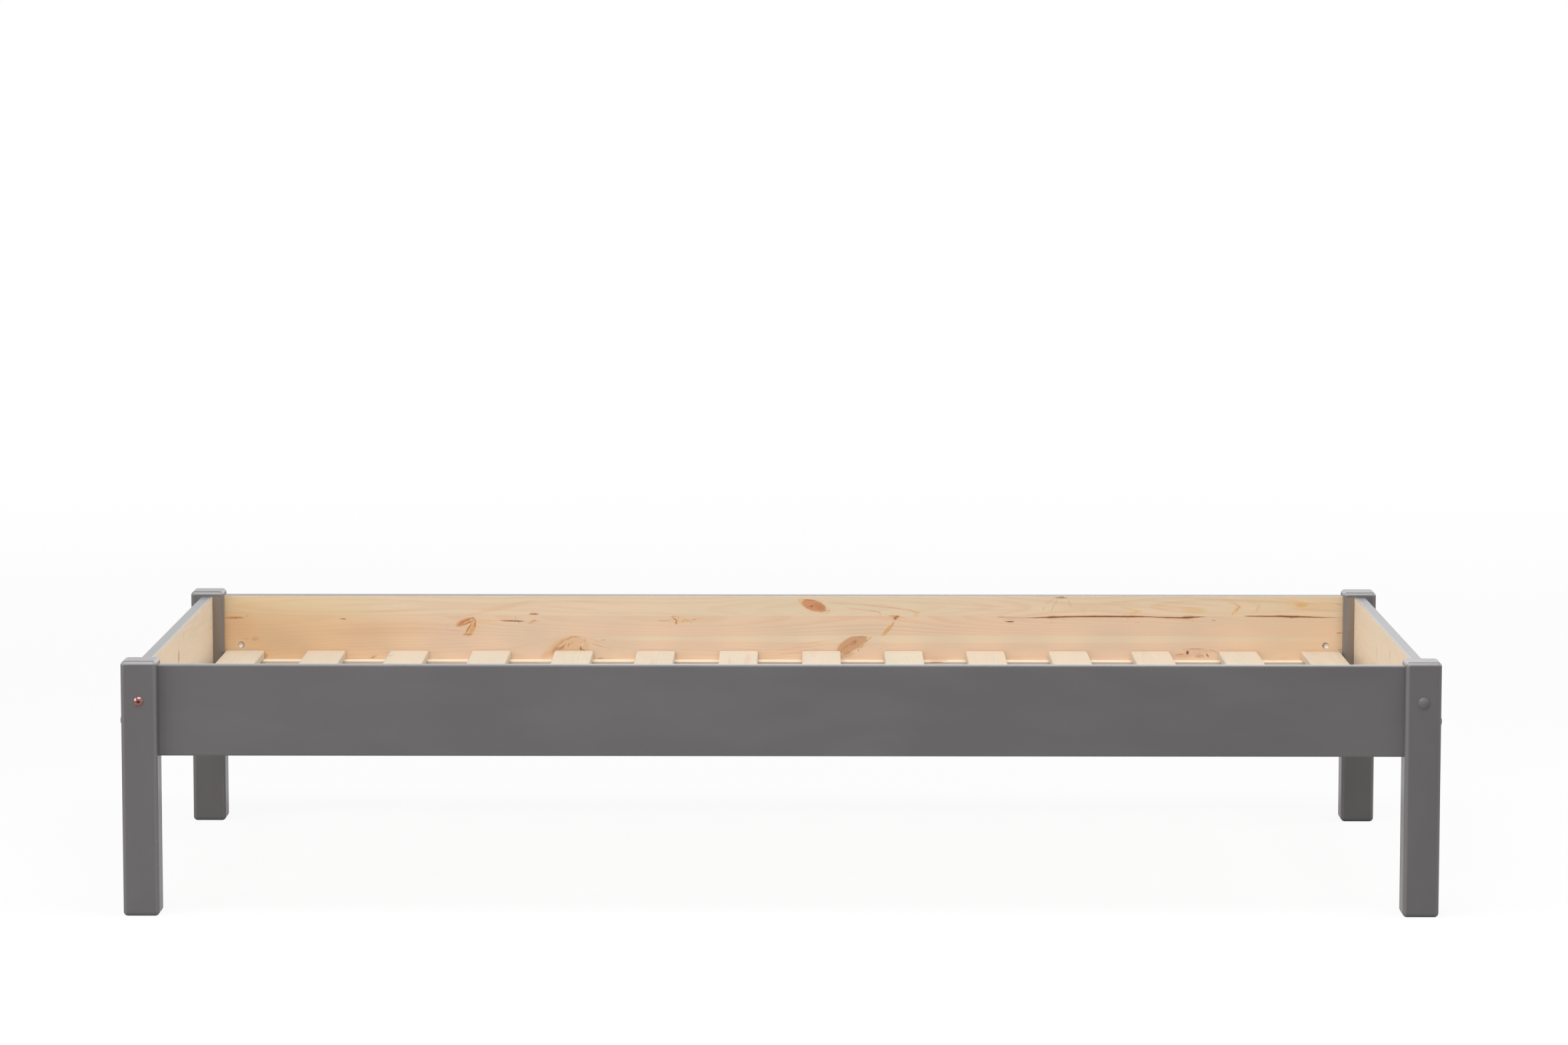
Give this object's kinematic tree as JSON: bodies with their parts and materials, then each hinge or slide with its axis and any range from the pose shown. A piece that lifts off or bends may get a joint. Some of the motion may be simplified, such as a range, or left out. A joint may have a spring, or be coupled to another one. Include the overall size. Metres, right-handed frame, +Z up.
{
  "type": "kids bed",
  "caption": "Low single bed frame for a child: square painted posts joined by boards that are bare pine inside, with a lift-out slatted base resting on ledgers.",
  "frame": {"origin": "on the floor, under the middle of the bed", "axes": "+X along the bed to the right, +Y from the front to the rear, +Z up"},
  "size_m": [2.0878, 0.988, 0.407],
  "materials": {
    "painted_post": "satin grey paint over pine",
    "part_painted_rail": "satin grey paint on the outer face and the edges, bare edge-glued pine on the inner face",
    "ledger_pine": "bare planed pine",
    "slat_pine": "bare planed pine",
    "webbing": "woven polyester tape",
    "staple_steel": "galvanised",
    "bronze_bolt": "bronze plated",
    "zinc_nut": "zinc plated",
    "dowel_beech": "bare fluted beech",
    "cap_plastic": "moulded, satin",
    "screw_steel": "yellow zinc plated"
  },
  "bodies": {
    "frame": {"post_front_left": "painted_post", "post_front_right": "painted_post", "post_rear_left": "painted_post", "post_rear_right": "painted_post", "side_rail_front": "part_painted_rail", "side_rail_rear": "part_painted_rail", "end_rail_left": "part_painted_rail", "end_rail_right": "part_painted_rail", "ledger_front": "ledger_pine", "ledger_rear": "ledger_pine", "side_rail_bolts": "bronze_bolt", "end_rail_bolts": "bronze_bolt", "side_rail_barrel_nuts": "zinc_nut", "end_rail_barrel_nuts": "zinc_nut", "side_rail_dowels": "dowel_beech", "end_rail_dowels": "dowel_beech", "side_rail_bolt_caps": "cap_plastic", "end_rail_bolt_caps": "cap_plastic", "ledger_screws_front": "screw_steel", "ledger_screws_rear": "screw_steel"},
    "slat_base": {"slat_01": "slat_pine", "slat_02": "slat_pine", "slat_03": "slat_pine", "slat_04": "slat_pine", "slat_05": "slat_pine", "slat_06": "slat_pine", "slat_07": "slat_pine", "slat_08": "slat_pine", "slat_09": "slat_pine", "slat_10": "slat_pine", "slat_11": "slat_pine", "slat_12": "slat_pine", "slat_13": "slat_pine", "slat_14": "slat_pine", "slat_webbing_front": "webbing", "slat_webbing_rear": "webbing", "webbing_staples_front": "staple_steel", "webbing_staples_rear": "staple_steel"}
  },
  "joints": [
    {"name": "slat_base_lift", "type": "slide", "parent": "frame", "child": "slat_base", "axis": [0, 0, 1], "range_m": [0, 0.16]}
  ]
}
